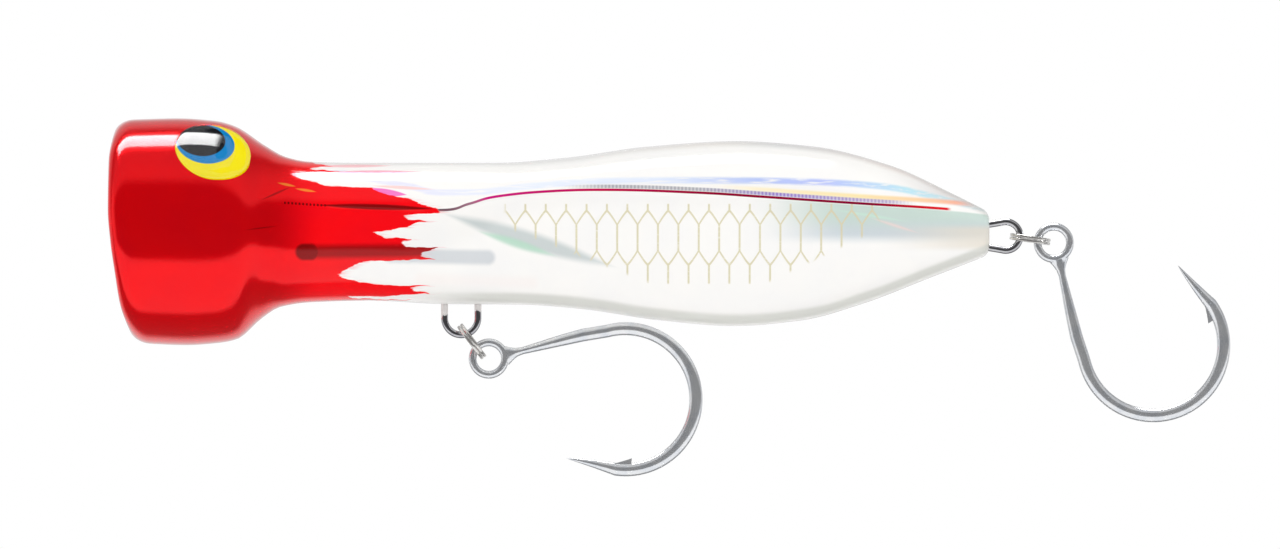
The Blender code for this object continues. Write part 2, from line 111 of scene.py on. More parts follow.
SHANK_HALF_DEPTHS = [0.66, 0.66, 0.64, 0.64, 0.74, 0.80, 0.83, 0.84]
HOOK_BEND_CENTRE = (23.3, 6.95)
HOOK_BEND_RADIUS = 12.05
HOOK_BEND_ANGLES = (-105.0, 98.0)
HOOK_TIP = (13.3, 17.0)
HOOK_BARB = (24.4, 17.0)
HOOKS = {"belly": ((54.6, -21.6), 0.0, -1), "tail": ((151.0, -1.85), -62.4, 1)}

# Eyes: the disc's centre on the head's side, its radius, and its print's rings off centre.
EYE_CENTRE = (7.85, 14.3)
EYE_RADIUS = 6.5
EYE_FOLLOW = 0.5               # share of the head's curve that the disc follows
EYE_DISC = (-2.0, -0.5)        # under and upper side, from the head's surface
EYE_LENS = (-0.46, 0.04)
EYE_DOME = 0.5
EYE_LENS_EDGE = 0.2
EYE_FIT = 0.04                 # gap around the eye in its pocket
EYE_BLUE = (-1.35, 1.55, 5.0)  # along, up, radius
EYE_PUPIL = (-2.1, 2.3, 4.15)

# Fineness of the meshes.
EYE_SIDES = 96
WIRE_SIDES = 20
CUTTER_SIDES = 12
HOOK_SIDES = 32
RING_SIDES = 16
BEND_STEPS = 80
POINT_STEPS = 16
CHAMBER_STEPS = 24


# ---------------- curves and points

def smooth_curve(points, x):
    """Height at x of a monotone cubic curve through points: no overshoot between them."""
    if x <= points[0][0]:
        return points[0][1]
    if x >= points[-1][0]:
        return points[-1][1]
    slopes = [(b[1] - a[1]) / (b[0] - a[0]) for a, b in zip(points, points[1:])]
    tangents = [slopes[0]]
    for before, after in zip(slopes, slopes[1:]):
        tangents.append(2 * before * after / (before + after) if before * after > 0 else 0.0)
    tangents.append(slopes[-1])
    i = max(k for k in range(len(points) - 1) if points[k][0] <= x)
    width = points[i + 1][0] - points[i][0]
    t = (x - points[i][0]) / width
    return ((2 * t**3 - 3 * t**2 + 1) * points[i][1] + (t**3 - 2 * t**2 + t) * width * tangents[i]
            + (3 * t**2 - 2 * t**3) * points[i + 1][1] + (t**3 - t**2) * width * tangents[i + 1])


def arc(centre, radius, start, end, steps):
    """Points of an arc in the x-z plane, angles in degrees from +X towards +Z."""
    return [(centre[0] + radius * math.cos(math.radians(start + (end - start) * i / steps)),
             centre[1] + radius * math.sin(math.radians(start + (end - start) * i / steps)))
            for i in range(steps + 1)]


def spread(low, high, spacing):
    """Values from low to high, about spacing apart."""
    count = max(1, round(abs(high - low) / spacing))
    return [low + (high - low) * i / count for i in range(count + 1)]


def loft(rows, closed=False):
    """Vertices and faces of a skin over rings of points; a ring of one point is a pole."""
    vertices = [point for row in rows for point in row]
    starts = [sum(len(row) for row in rows[:i]) for i in range(len(rows))]
    faces = []
    pairs = list(zip(range(len(rows)), range(1, len(rows))))
    if closed:
        pairs.append((len(rows) - 1, 0))
    for a, b in pairs:
        longest = max(len(rows[a]), len(rows[b]))
        for k in range(longest):
            n = (k + 1) % longest
            if len(rows[a]) == 1:
                faces.append((starts[a], starts[b] + n, starts[b] + k))
            elif len(rows[b]) == 1:
                faces.append((starts[a] + k, starts[a] + n, starts[b]))
            else:
                faces.append((starts[a] + k, starts[a] + n, starts[b] + n, starts[b] + k))
    if not closed:
        if len(rows[0]) > 1:
            faces.append(tuple(reversed(range(len(rows[0])))))
        if len(rows[-1]) > 1:
            faces.append(tuple(starts[-1] + k for k in range(len(rows[-1]))))
    return vertices, faces


def signed_volume(vertices, faces):
    """Six times the volume, negative where the faces point in."""
    total = 0.0
    for face in faces:
        for second, third in zip(face[1:], face[2:]):
            total += vertices[face[0]].dot(vertices[second].cross(vertices[third]))
    return total


def make_piece(name, skin, material, sharp=40, place=None):
    """A smooth-shaded mesh from millimetre points; place is the object's own frame, in metres."""
    vertices, faces = skin
    if signed_volume(vertices, faces) < 0:
        faces = [tuple(reversed(face)) for face in faces]
    place = place or Matrix.Identity(4)
    to_local = place.inverted()
    mesh = bpy.data.meshes.new(name)
    mesh.from_pydata([tuple(to_local @ (vertex * MM)) for vertex in vertices], [], faces)
    piece = add_object(name, mesh, material, sharp)
    piece.matrix_world = place
    return piece


def add_object(name, mesh, material, sharp):
    """A smooth-shaded object in the scene, made from a mesh."""
    if material:
        mesh.materials.append(material)
    piece = bpy.data.objects.new(name, mesh)
    bpy.context.scene.collection.objects.link(piece)
    shade(piece, sharp)
    return piece


def shade(piece, sharp):
    """Smooth shading, with edges over sharp degrees kept crisp."""
    piece.data.shade_smooth()
    piece.data.set_sharp_from_angle(angle=math.radians(sharp))


def cut(piece, *steps):
    """Boolean steps of (operation, skin) on a piece, applied to its mesh."""
    cutters = []
    for operation, skin in steps:
        cutter = make_piece(piece.name + "_cutter", skin, None)
        cutters.append(cutter)
        step = piece.modifiers.new("cut", 'BOOLEAN')
        step.operation = operation
        step.solver = 'EXACT'
        step.object = cutter
    seen = piece.evaluated_get(bpy.context.evaluated_depsgraph_get())
    mesh = bpy.data.meshes.new_from_object(seen)
    piece.modifiers.clear()
    piece.data = mesh
    for cutter in cutters:
        bpy.data.objects.remove(cutter)


def stand_for(piece, node, body):
    """The piece takes a CAD node's place and moves with its body."""
    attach(piece, body)
    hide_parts(node)


# ---------------- body surface

def signed_power(value, power):
    return math.copysign(abs(value) ** power, value)


def body_point(x, angle, scale=1.0, inset=0.0):
    """y and z of the right half's section at x; the angle is 0 at the back and pi at the belly."""
    top = smooth_curve(BACK, x) - inset
    bottom = smooth_curve(BELLY, x) + inset
    half_width = smooth_curve(HALF_WIDTH, x) - inset
    middle = (top + bottom) / 2
    widest = max(middle, min(smooth_curve(WIDEST, x), top - 1.0))
    power = 2 / ROUNDNESS
    side = signed_power(math.sin(angle), power)
    rise = signed_power(math.cos(angle), power)
    if rise >= 0:
        z = widest + (top - widest) * rise
    else:
        z = widest + (widest - bottom) * rise
        side *= 1 + smooth_curve(LEAN, x) * rise
    return scale * half_width * side, middle + scale * (z - middle)


def line_angle(x):
    """The angle at which the lateral line meets the section at x."""
    top = smooth_curve(BACK, x)
    bottom = smooth_curve(BELLY, x)
    widest = max((top + bottom) / 2, min(smooth_curve(WIDEST, x), top - 1.0))
    rise = (smooth_curve(LINE, x) - widest) / (top - widest)
    return math.acos(max(0.0, min(0.85, rise)) ** (ROUNDNESS / 2))


def section_angles(x, upper=36, lower=56):
    """Angles of a half section, closest together at the lateral line."""
    line = line_angle(x)
    above = [line * (1 - (1 - i / upper) ** 1.5) if i else 0.0 for i in range(upper)]
    below = [line + (math.pi - line) * (i / lower) ** 1.5 for i in range(lower + 1)]
    return above + below


def line_relief(x, z):
    """How far the skin stands out for the lateral line's ridge, or in for its groove."""
    share = (z - smooth_curve(LINE, x)) / LINE_HALF_WIDTH
    return (smooth_curve(RIDGE, x) - smooth_curve(GROOVE, x)) * math.exp(-share * share)


def half_row(x, side, scale=1.0, depth=None):
    """One row of the skin of a half, from back to belly; depth sets a row of the mouth instead."""
    row = []
    angles = section_angles(max(x, HEAD_X))
    for i, angle in enumerate(angles):
        place = depth(angle) if depth else x
        y, z = body_point(place, angle, scale)
        y += line_relief(place, z) if not depth else 0.0
        y = SEAM if i in (0, len(angles) - 1) else max(y, SEAM)
        row.append(Vector((place, side * y, z)))
    return row


def mouth_depth(depth, blend=0.0, target=0.0):
    """x of a mouth row at an angle: the rim's x plus a depth, pulled by blend to target."""
    def place(angle):
        rim_z = body_point(BACK[0][0], angle, RIM_SCALE)[1]
        x = smooth_curve(RIM, rim_z) + depth
        return x + (target - x) * blend
    return place


def half_skin_rows(side):
    """Rows of one half: tail end, body, head, rim and cup."""
    rows = []
    for degrees in (90, 70, 50, 30, 12):
        tilt = math.radians(degrees)
        rows.append(half_row(TAIL_X - TAIL_FILLET * (1 - math.sin(tilt)), side, 0.66 + 0.34 * math.cos(tilt)))
    rows += [half_row(x, side) for x in spread(TAIL_X - TAIL_FILLET - 0.3, HEAD_X, 1.0)]
    rows += [half_row(0, side, 1.0, mouth_depth(RIM_OUTER_DEPTH, blend, HEAD_X))
             for blend in (0.83, 0.66, 0.5, 0.33, 0.16, 0.0)]
    for degrees in range(80, -1, -10):
        tilt = math.radians(degrees)
        rows.append(half_row(0, side, RIM_SCALE + (1 - RIM_SCALE) * math.sin(tilt),
                             mouth_depth(RIM_OUTER_DEPTH * (1 - math.cos(tilt)))))
    for degrees in range(15, 91, 15):
        tilt = math.radians(degrees)
        rows.append(half_row(0, side, RIM_SCALE - (RIM_SCALE - MOUTH_SCALE) * math.sin(tilt),
                             mouth_depth(RIM_INNER_DEPTH * (1 - math.cos(tilt)))))
    for degrees in range(4, 88, 4):
        tilt = math.radians(degrees)
        rows.append(half_row(0, side, MOUTH_SCALE * math.cos(tilt),
                             mouth_depth(RIM_INNER_DEPTH, math.sin(tilt), CUP_BOTTOM_X)))
    return rows


def chamber_rows(front, rear, side):
    """Rows of one compartment's wall in a half, from front to rear."""
    turn = [math.pi * k / CHAMBER_STEPS for k in range(CHAMBER_STEPS + 1)]
    rows = []
    for x in spread(front, rear, 4.0):
        section = [body_point(x, angle, 1.0, smooth_curve(WALL, x)) for angle in turn]
        row = [Vector((x, side * max(y, SEAM), z)) for y, z in section]
        row[0].y = row[-1].y = side * SEAM
        rows.append(row)
    return rows


def half_body(name, side, material):
    """One moulded half: outer skin, chambers and the flat mating face between them."""
    mesh = bmesh.new()
    rims = []
    skins = [(half_skin_rows(side), True)]
    skins += [(chamber_rows(front, rear, side), False) for front, rear in CHAMBERS]
    for rows, is_outer in skins:
        vertices = [[mesh.verts.new(point * MM) for point in row] for row in rows]
        for row, nearby in zip(vertices, vertices[1:]):
            for k in range(len(row) - 1):
                mesh.faces.new((row[k], row[k + 1], nearby[k + 1], nearby[k]))
        mesh.faces.new(vertices[0])
        pole = []
        if is_outer:
            pole.append(mesh.verts.new(Vector((CUP_BOTTOM_X, side * SEAM, 0)) * MM))
            for a, b in zip(vertices[-1], vertices[-1][1:]):
                mesh.faces.new((a, b, pole[0]))
        else:
            mesh.faces.new(vertices[-1])
        rims.append([row[0] for row in vertices] + pole + [row[-1] for row in reversed(vertices)])
    edges = []
    for rim in rims:
        for a, b in zip(rim, rim[1:] + rim[:1]):
            edges.append(mesh.edges.get((a, b)) or mesh.edges.new((a, b)))
    bmesh.ops.triangle_fill(mesh, edges=edges, use_beauty=True, use_dissolve=False)
    bmesh.ops.recalc_face_normals(mesh, faces=mesh.faces)
    data = bpy.data.meshes.new(name)
    mesh.to_mesh(data)
    mesh.free()
    return add_object(name, data, material, 40)


# ---------------- eyes

def outside(point):
    """Positive outside the head's surface and negative inside it."""
    top, bottom = smooth_curve(BACK, point.x), smooth_curve(BELLY, point.x)
    share = abs(point.y / smooth_curve(HALF_WIDTH, point.x)) ** ROUNDNESS
    return share + abs((point.z - (top + bottom) / 2) / ((top - bottom) / 2)) ** ROUNDNESS - 1


def eye_frame(side):
    """Centre of an eye on the head, its outward normal, the axis along the head and the one up it."""
    x, z = EYE_CENTRE
    top, bottom = smooth_curve(BACK, x), smooth_curve(BELLY, x)
    share = 1 - abs((z - (top + bottom) / 2) / ((top - bottom) / 2)) ** ROUNDNESS
    centre = Vector((x, side * smooth_curve(HALF_WIDTH, x) * share ** (1 / ROUNDNESS), z))
    axes = (Vector((1, 0, 0)), Vector((0, 1, 0)), Vector((0, 0, 1)))
    slopes = [outside(centre + axis * 0.01) - outside(centre - axis * 0.01) for axis in axes]
    normal = Vector(slopes).normalized()
    along = (axes[0] - normal * normal.x).normalized()
    up = normal.cross(along)
    return centre, normal, along, up if up.z > 0 else -up


def surface_height(start, normal):
    """Distance along the normal from start to the head's surface."""
    low, high = -8.0, 8.0
    for _ in range(40):
        half = (low + high) / 2
        low, high = (half, high) if outside(start + normal * half) < 0 else (low, half)
    return low


def eye_skin(side, radius, under, upper, dome=0.0, edge=0.0):
    """A disc that half follows the head, from a height under its surface to one over it.

    dome is how far its middle rises, and edge is the radius of its rounded rim.
    """
    centre, normal, along, up = eye_frame(side)

    def ring(share, height):
        points = []
        for k in range(EYE_SIDES):
            angle = 2 * math.pi * k / EYE_SIDES
            flat = centre + (along * math.cos(angle) + up * math.sin(angle)) * radius * share
            points.append(flat + normal * (surface_height(flat, normal) * EYE_FOLLOW + height))
        return points

    shares = [i / 12 for i in range(1, 12)]
    rows = [[centre + normal * under]]
    rows += [ring(share, under) for share in (0.5, 1.0)]
    rows.append(ring(1.0, upper - edge))
    if edge:
        rows.append(ring(1.0 - 0.3 * edge / radius, upper - 0.3 * edge))
        rows.append(ring(1.0 - edge / radius, upper + dome * 0.05))
    else:
        rows.append(ring(0.985, upper))
    rows += [ring(share, upper + dome * (1 - share ** 2)) for share in reversed(shares)]
    rows.append([centre + normal * (upper + dome)])
    return loft(rows)


def eye_place(side):
    """The eye's own frame in metres: X along the head, Y up it and Z outwards (mirrored on the right)."""
    centre, normal, along, _ = eye_frame(side)
    place = Matrix((along, normal.cross(along), normal)).transposed().to_4x4()
    place.translation = centre * MM
    return place


# ---------------- wires, rings and hooks

def sweep(path, widths, depths=None, closed=False, sides=WIRE_SIDES, squareness=2.0):
    """A wire along a path in the x-z plane; depths is its half thickness along Y."""
    depths = depths or widths
    rows = []
    last = len(path) - 1
    for i, (x, z) in enumerate(path):
        before = path[i - 1] if closed or i else path[0]
        after = path[(i + 1) % len(path)] if closed or i < last else path[last]
        along = Vector((after[0] - before[0], 0, after[1] - before[1])).normalized()
        across = along.cross(Vector((0, 1, 0)))
        row = []
        for k in range(sides):
            angle = 2 * math.pi * (k + 0.5) / sides
            row.append(Vector((x, 0, z))
                       + across * widths[i] * signed_power(math.cos(angle), 2 / squareness)
                       + Vector((0, 1, 0)) * depths[i] * signed_power(math.sin(angle), 2 / squareness))
        rows.append(row)
    return loft(rows, closed)


def through_wire_path():
    """The closed path of the through wire: line tie, upper leg, tail loop and lower leg."""
    nose = arc((0, 0), LINE_TIE_RADIUS, 320, 40, 48)
    upper = [(3.2, 1.62), (4.2, 1.36), (5.6, 1.24), (8.0, LEG_Z), (60.0, LEG_Z), (122.0, LEG_Z),
             (130.0, LEG_Z), (136.0, 1.2), (140.0, TAIL_LOOP[1] + TAIL_NECK),
             (141.1, TAIL_LOOP[1] + TAIL_NECK + 0.18)]
    tail = arc(TAIL_LOOP, TAIL_LOOP_RADIUS, 106, -106, 40)
    lower = [(141.1, TAIL_LOOP[1] - TAIL_NECK - 0.18), (140.0, TAIL_LOOP[1] - TAIL_NECK),
             (136.0, -2.2), (130.0, -1.4), (122.0, -LEG_Z), (60.0, -LEG_Z), (8.0, -LEG_Z),
             (5.6, -1.24), (4.2, -1.36), (3.2, -1.62)]
    return nose + upper + tail + lower


def hanger_path():
    """The belly hanger: a U of wire whose ends turn out into two feet inside the body."""
    x, z = HANGER
    corner = 1.0
    left, right = x - HANGER_RADIUS, x + HANGER_RADIUS
    path = [(left - HANGER_FOOT_LENGTH, HANGER_FOOT_Z)]
    path += arc((left - corner, HANGER_FOOT_Z - corner), corner, 90, 0, 6)
    path += arc((x, z), HANGER_RADIUS, 180, 360, 40)
    path += arc((right + corner, HANGER_FOOT_Z - corner), corner, 180, 90, 6)
    path.append((right + HANGER_FOOT_LENGTH, HANGER_FOOT_Z))
    return path


def wire_skin(path, closed, extra=0.0, sides=WIRE_SIDES):
    """Round wire along a path; extra is added to its radius."""
    return sweep(path, [WIRE_RADIUS + extra] * len(path), closed=closed, sides=sides)


def split_ring_skin(top, tilt, steps_per_turn=72):
    """Two coils of flat wire with rounded edges and a step over between the coils."""
    down = Vector((math.cos(math.radians(tilt)), 0, -math.sin(math.radians(tilt))))
    centre = Vector((top[0], 0, top[1])) + down * RING_RADIUS
    side = Vector((0, 1, 0))
    axis = down.cross(side)
    steps = round(RING_TURNS * steps_per_turn)
    rows = []
    for i in range(steps + 1):
        turns = i / steps_per_turn
        step_over = min(1.0, max(0.0, (turns - 0.88) / 0.12))
        offset = RING_COIL_OFFSET * (2 * (3 * step_over**2 - 2 * step_over**3) - 1)
        taper = min(1.0, 0.55 + min(i, steps - i) / 8)
        angle = 2 * math.pi * (turns + 0.2)
        outward = down * math.cos(angle) + side * math.sin(angle)
        middle = centre + outward * RING_RADIUS + axis * offset
        row = []
        for k in range(RING_SIDES):
            turn = 2 * math.pi * (k + 0.5) / RING_SIDES
            row.append(middle + outward * RING_WIRE_WIDTH / 2 * taper * signed_power(math.cos(turn), 0.5)
                       + axis * RING_WIRE_HEIGHT / 2 * taper * signed_power(math.sin(turn), 0.5))
        rows.append(row)
    return loft(rows)


def hook_skin():
    """The hook's wire in its own plane: round at the eye, flat round the bend, tapered to its point."""
    bend = arc(HOOK_BEND_CENTRE, HOOK_BEND_RADIUS, *HOOK_BEND_ANGLES, BEND_STEPS)
    end = bend[-1]
    shares = [i / POINT_STEPS for i in range(1, POINT_STEPS + 1)]
    point = [(end[0] + (HOOK_TIP[0] - end[0]) * t, end[1] + (HOOK_TIP[1] - end[1]) * t - 0.35 * t * (1 - t))
             for t in shares]
    along_bend = [i / BEND_STEPS for i in range(BEND_STEPS + 1)]
    widths = SHANK_HALF_WIDTHS + [1.15 - 0.05 * (1 - 4 * t * (1 - t)) for t in along_bend]
    widths += [1.05 * (1 - t) ** 0.85 + 0.04 for t in shares]
    depths = SHANK_HALF_DEPTHS + [0.84 - 0.04 * 4 * t * (1 - t) for t in along_bend]
    depths += [0.8 * (1 - t) ** 0.8 + 0.04 for t in shares]
    return sweep(HOOK_SHANK + bend + point, widths, depths, sides=HOOK_SIDES, squareness=1.7)


def barb_skin():
    """A thin wedge that rises from the inside of the bend."""
    outline = [HOOK_BARB, (23.6, 17.28), (22.0, 17.75), (20.0, 18.15), (20.6, 18.7), (23.6, 18.9),
               (24.3, 18.3)]
    return loft([[Vector((a, y, b)) for a, b in outline] for y in (-0.34, 0.34)])


def placed(skin, place):
    """A skin moved by a matrix."""
    return [place @ vertex for vertex in skin[0]], skin[1]


def hook_place(eye, angle, turn):
    """Matrix from the hook's own plane to the lure; turn is +1 or -1 for the side of the point."""
    along = Vector((math.cos(math.radians(angle)), 0, math.sin(math.radians(angle))))
    towards_point = Vector((-along.z, 0, along.x)) * turn
    place = Matrix((along, towards_point.cross(along), towards_point)).transposed().to_4x4()
    place.translation = Vector((eye[0], 0, eye[1]))
    return place


# ---------------- materials

class Graph:
    """A node tree, built with short calls; a value is a number, a colour or a socket."""

    def __init__(self, tree):
        self.tree = tree

    def node(self, kind, *values, **settings):
        node = self.tree.nodes.new(kind)
        for name, value in settings.items():
            setattr(node, name, value)
        for socket, value in zip(node.inputs, values):
            self.put(socket, value)
        return node

    def put(self, socket, value):
        if isinstance(value, bpy.types.NodeSocket):
            self.tree.links.new(value, socket)
        else:
            socket.default_value = value

    def math(self, operation, *values):
        return self.node("ShaderNodeMath", *values, operation=operation).outputs[0]

    def add(self, a, b):
        return self.math('ADD', a, b)

    def less(self, a, b):
        return self.math('SUBTRACT', a, b)

    def times(self, a, b):
        return self.math('MULTIPLY', a, b)

    def most(self, first, *others):
        """The largest of several values."""
        for other in others:
            first = self.math('MAXIMUM', first, other)
        return first

    def size(self, a):
        return self.math('ABSOLUTE', a)

    def step(self, value, low, high):
        """0 at low and 1 at high, smooth between; high may be under low."""
        node = self.node("ShaderNodeMapRange", value, low, high, 0.0, 1.0, interpolation_type='SMOOTHSTEP')
        return node.outputs[0]

    def band(self, value, centre, half_width, soft):
        """1 within half_width of centre, fading out over soft."""
        return self.step(self.size(self.less(value, centre)), self.add(half_width, soft), half_width)

    def curve(self, value, points, low, high, out_low, out_high, smooth=True):
        """A curve through given points: points are (in, out) pairs within low..high and out_low..out_high."""
        share = self.node("ShaderNodeMapRange", value, low, high, 0.0, 1.0).outputs[0]
        node = self.node("ShaderNodeFloatCurve")
        curve = node.mapping.curves[0]
        spots = [((a - low) / (high - low), (b - out_low) / (out_high - out_low)) for a, b in points]
        for spot in spots[2:]:
            curve.points.new(*spot)
        for place, spot in zip(curve.points, sorted(spots)):
            place.location = spot
            place.handle_type = 'AUTO_CLAMPED' if smooth else 'VECTOR'
        node.mapping.update()
        self.put(node.inputs["Value"], share)
        return self.node("ShaderNodeMapRange", node.outputs[0], 0.0, 1.0, out_low, out_high).outputs[0]

    def ramp(self, value, low, high, stops):
        """A colour from stops of (value, colour) between low and high."""
        share = self.node("ShaderNodeMapRange", value, low, high, 0.0, 1.0).outputs[0]
        node = self.node("ShaderNodeValToRGB", share)
        while len(node.color_ramp.elements) < len(stops):
            node.color_ramp.elements.new(0.5)
        for element, (place, colour) in zip(node.color_ramp.elements, stops):
            element.position = (place - low) / (high - low)
            element.color = (*colour, 1.0)
        return node.outputs[0]

    def mix(self, share, a, b):
        node = self.node("ShaderNodeMix", data_type='RGBA')
        self.put(node.inputs[0], share)
        self.put(node.inputs[6], a if isinstance(a, bpy.types.NodeSocket) else (*a, 1.0))
        self.put(node.inputs[7], b if isinstance(b, bpy.types.NodeSocket) else (*b, 1.0))
        return node.outputs[2]

    def noise(self, vector, scale, detail=3.0, roughness=0.5):
        node = self.node("ShaderNodeTexNoise")
        self.put(node.inputs["Vector"], vector)
        node.inputs["Scale"].default_value = scale
        node.inputs["Detail"].default_value = detail
        node.inputs["Roughness"].default_value = roughness
        return node.outputs[0]

    def stretched(self, vector, *factors):
        return self.node("ShaderNodeVectorMath", vector, factors, operation='MULTIPLY').outputs[0]


class MaterialGraph(Graph):
    """The node tree of a material; its constants are set on the shader's own sockets.

    point, x, y and z are the place on the object, in millimetres.
    """

    def __init__(self, name, **constants):
        self.material = bpy.data.materials.new(name)
        self.material.use_nodes = True
        super().__init__(self.material.node_tree)
        self.shader = self.tree.nodes["Principled BSDF"]
        for socket, value in constants.items():
            self.shader.inputs[socket.replace("_", " ")].default_value = value
        scale = self.node("ShaderNodeVectorMath", operation='SCALE')
        self.put(scale.inputs[0], self.node("ShaderNodeTexCoord").outputs["Object"])
        scale.inputs["Scale"].default_value = 1 / MM
        self.point = scale.outputs[0]
        self.x, self.y, self.z = self.node("ShaderNodeSeparateXYZ", self.point).outputs

    def bump(self, height, strength, distance):
        node = self.node("ShaderNodeBump")
        node.inputs["Strength"].default_value = strength
        node.inputs["Distance"].default_value = distance
        self.put(node.inputs["Height"], height)
        self.put(self.shader.inputs["Normal"], node.outputs[0])

    def paint(self, socket, value):
        self.put(self.shader.inputs[socket], value)


# Ends of the red paint's fingers along the neck: (z, x).
FINGERS = [(-12.5, 29.0), (-11.75, 29.5), (-11.55, 43.2), (-11.3, 31.0), (-11.0, 30.5), (-10.8, 39.5),
           (-10.5, 45.4), (-10.2, 42.0), (-9.75, 41.6), (-9.4, 41.4), (-9.15, 45.4), (-8.95, 36.0),
           (-8.55, 32.6), (-8.2, 31.8), (-7.75, 29.6), (-7.2, 29.2), (-6.4, 30.4), (-5.6, 31.8), (-5.0, 34.0),
           (-4.85, 42.5), (-4.6, 45.8), (-4.2, 43.2), (-3.4, 43.5), (-2.75, 46.2), (-2.45, 40.5),
           (-1.7, 40.0), (-1.25, 41.8), (-0.95, 37.0), (0.0, 35.1), (0.35, 38.2), (0.8, 40.7), (1.45, 41.8),
           (1.78, 44.7), (2.1, 41.0), (2.9, 40.3), (3.15, 46.6), (3.9, 45.9), (4.6, 43.6), (5.55, 41.6),
           (6.1, 39.2), (7.1, 35.2), (7.45, 34.6), (7.7, 29.4), (8.2, 25.9), (8.9, 22.8), (9.8, 21.0),
           (10.1, 22.0), (10.35, 29.6), (10.7, 24.5), (11.1, 24.2), (11.3, 28.2), (11.7, 25.0), (12.5, 24.0)]
BLUE_BAND = [(38.0, 8.4), (41.6, 7.7), (47.0, 6.7), (52.5, 6.75), (60.0, 7.6), (66.7, 8.2), (73.5, 8.6),
             (90.6, 8.75), (107.7, 8.55), (116.0, 8.2), (123.5, 7.5), (128.3, 6.5), (132.5, 5.5),
             (139.0, 4.0)]
PAINT_END = -21.7
SCALE_PITCH = 3.47
SCALE_START = 60.9             # x of one column of scale tips
SCALE_TIP, SCALE_SHOULDER, SCALE_WAIST, SCALE_FOOT, SCALE_STUB = 3.6, 1.2, -3.2, -5.6, -8.6
SCALE_FRONT = (-0.39, 23.3)    # slope, and z at x 0, of a line that the scales stay over in front
SCALE_REAR = (0.48, -57.6)     # the same at the rear

PEARL = (0.97, 0.955, 0.93)
RED = (0.98, 0.0, 0.004)


def lens_mask(g, start, end, half_width, soft):
    """A long lens from start to end, each (x, z): widest in the middle and pointed at both ends."""
    share = g.node("ShaderNodeMapRange", g.x, start[0], end[0], 0.0, 1.0).outputs[0]
    middle = g.add(g.times(share, end[1] - start[1]), start[1])
    swell = g.times(g.times(share, g.less(1.0, share)), 4 * half_width)
    return g.step(g.less(g.size(g.less(g.z, middle)), swell), 0.0, -soft)


def capsule_mask(g, start, end, half_width, soft):
    """A band with round ends between the points start and end, each (x, z)."""
    share = g.node("ShaderNodeMapRange", g.x, start[0], end[0], 0.0, 1.0).outputs[0]
    off_z = g.less(g.z, g.add(g.times(share, end[1] - start[1]), start[1]))
    off_x = g.add(g.most(g.less(start[0], g.x), 0.0), g.most(g.less(g.x, end[0]), 0.0))
    off = g.math('SQRT', g.add(g.times(off_x, off_x), g.times(off_z, off_z)))
    return g.step(off, half_width + soft, half_width)


def scale_net(g):
    """The mask of the printed scales: pointed ovals in one row, with stubs above and below."""
    x, z = g.x, g.z
    share = g.math('FRACT', g.times(g.less(x, SCALE_START - SCALE_PITCH / 2), 1 / SCALE_PITCH))
    off = g.times(g.size(g.less(share, 0.5)), SCALE_PITCH)    # from the column's middle
    edge = SCALE_PITCH / 2
    line, soft = 0.10, 0.13
    bow = g.math('POWER', g.times(off, 1 / edge), 1.2)
    top = g.add(g.times(bow, SCALE_SHOULDER - SCALE_TIP), SCALE_TIP)
    foot = g.add(g.times(bow, SCALE_WAIST - SCALE_FOOT), SCALE_FOOT)
    upper = g.band(z, top, 1.5 * line, 1.5 * soft)
    lower = g.band(z, foot, 1.5 * line, 1.5 * soft)
    sides = g.times(g.band(off, edge, line, soft), g.band(z, (SCALE_SHOULDER + SCALE_WAIST) / 2, 2.2, 0.1))
    stubs = g.times(g.band(off, 0.0, line, soft), g.band(z, (SCALE_FOOT + SCALE_STUB) / 2, 1.5, 0.4))
    tips = g.times(g.band(off, 0.0, line, soft), g.band(z, SCALE_TIP + 0.5, 0.5, 0.3))
    front, rear = [g.step(g.less(z, g.add(g.times(x, slope), start)), -0.4, 0.4)
                   for slope, start in (SCALE_FRONT, SCALE_REAR)]
    ends = g.times(g.step(x, 57.0, 58.0), g.step(x, 121.5, 120.5))
    return g.times(g.times(g.most(upper, lower, sides, stubs, tips), ends), g.times(front, rear))


# Painted reflections in the pearl: dark grey and green bands down the front of the flank and on the neck, a
# pale highlight low on the neck, and pink and green glints near the tail. Columns: mask, its start, end, half
# width and soft edge, strength and colour.
PAINTED_REFLECTIONS = [(lens_mask, (45.5, 3.6), (77.5, -6.4), 2.2, 1.5, 0.85, (0.54, 0.60, 0.60)),
                (lens_mask, (52.0, 0.4), (67.0, -4.4), 1.2, 1.0, 0.8, (0.45, 0.72, 0.56)),
                (capsule_mask, (38.0, -4.0), (54.5, -4.35), 0.7, 1.0, 0.7, (0.55, 0.59, 0.63)),
                (capsule_mask, (43.0, -8.0), (62.0, -8.6), 0.1, 1.6, 0.35, (0.95, 0.86, 0.83)),
                (lens_mask, (119.0, 2.6), (128.5, -0.4), 0.5, 0.5, 0.55, (0.98, 0.72, 0.68)),
                (lens_mask, (112.0, 4.0), (127.0, 1.6), 0.5, 0.6, 0.5, (0.62, 0.90, 0.74))]

# Thin pink streaks on the neck, ahead of the red: start and end as (x, z), half width, colour.
PINK_STREAKS = [((26.0, 10.1), (44.0, 10.2), 0.42, (0.95, 0.30, 0.46)),
                ((22.0, 9.6), (31.0, 9.2), 0.35, (0.98, 0.55, 0.60)),
                ((24.0, 11.2), (39.0, 11.3), 0.35, (0.97, 0.45, 0.50)),
                ((34.0, 7.9), (46.0, 7.2), 0.36, (0.98, 0.62, 0.58)),
                ((32.0, 7.2), (41.0, 6.3), 0.75, (0.92, 0.02, 0.50))]

